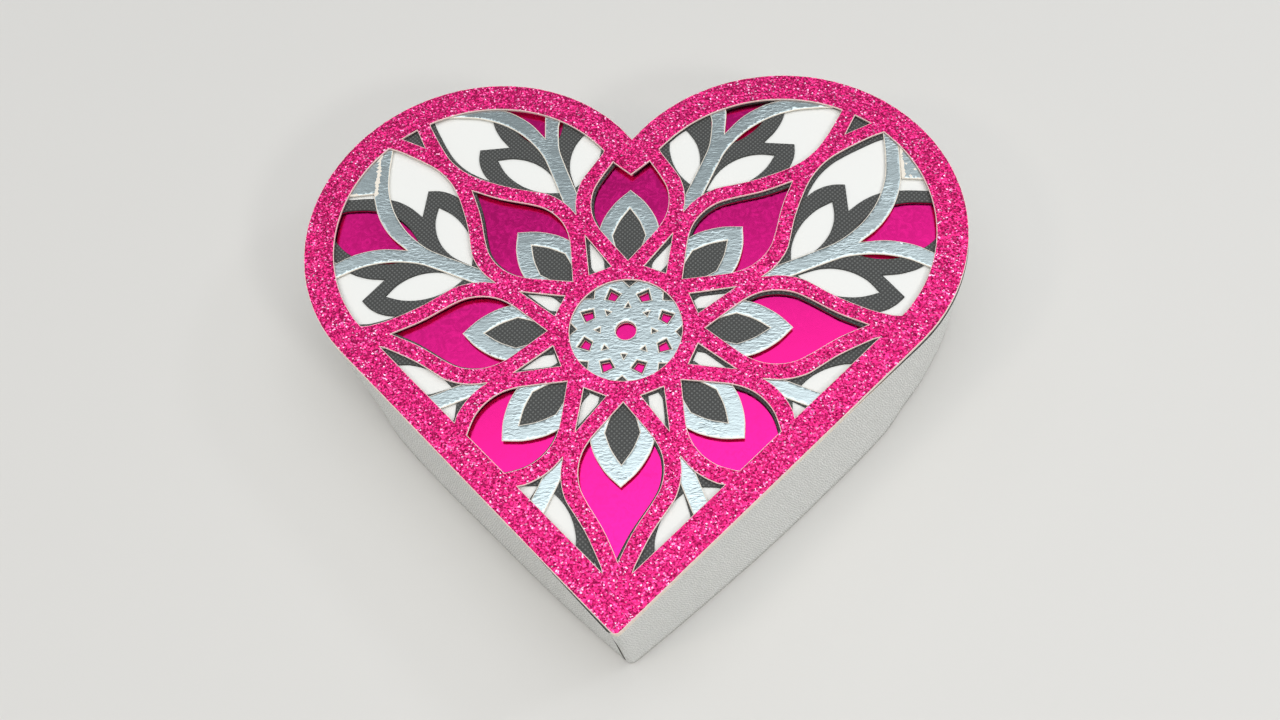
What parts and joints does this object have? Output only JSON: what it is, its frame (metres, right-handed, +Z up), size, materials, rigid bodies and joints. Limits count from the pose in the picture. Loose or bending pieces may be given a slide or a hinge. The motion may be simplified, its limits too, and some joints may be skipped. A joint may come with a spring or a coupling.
{
  "type": "heart-shaped box",
  "caption": "Heart-shaped card keepsake box: a lift-off lid with a pierced, layered mandala top and a deep skirt, over a plain heart-shaped tray.",
  "frame": {"origin": "on the table, below the middle of the heart's bounding box", "axes": "+X to the right across both lobes, +Y from the tip to the cleft, +Z up through the lid"},
  "size_m": [0.14, 0.1243, 0.0305],
  "materials": {
    "pink_glitter_card": "coarse hot-pink glitter on card, rough and sparkling, with cream cut edges",
    "silver_foil_card": "finely hammered silver foil on card, bright and slightly wrinkled",
    "charcoal_card": "charcoal card embossed with small raised dots, dull satin",
    "white_card": "smooth white card, matt",
    "pink_mirror_card": "hot-pink mirror foil on card, glossy",
    "linen_card": "white card with a fine linen weave, matt",
    "tray_card": "plain white card, matt"
  },
  "bodies": {
    "root": {"glitter_layer": "pink_glitter_card", "silver_layer": "silver_foil_card", "charcoal_layer": "charcoal_card", "white_layer": "white_card", "pink_mirror_layer": "pink_mirror_card", "lid_skirt_left": "linen_card", "lid_skirt_right": "linen_card", "tray_bottom": "tray_card", "tray_wall_left": "tray_card", "tray_wall_right": "tray_card"}
  },
  "joints": []
}
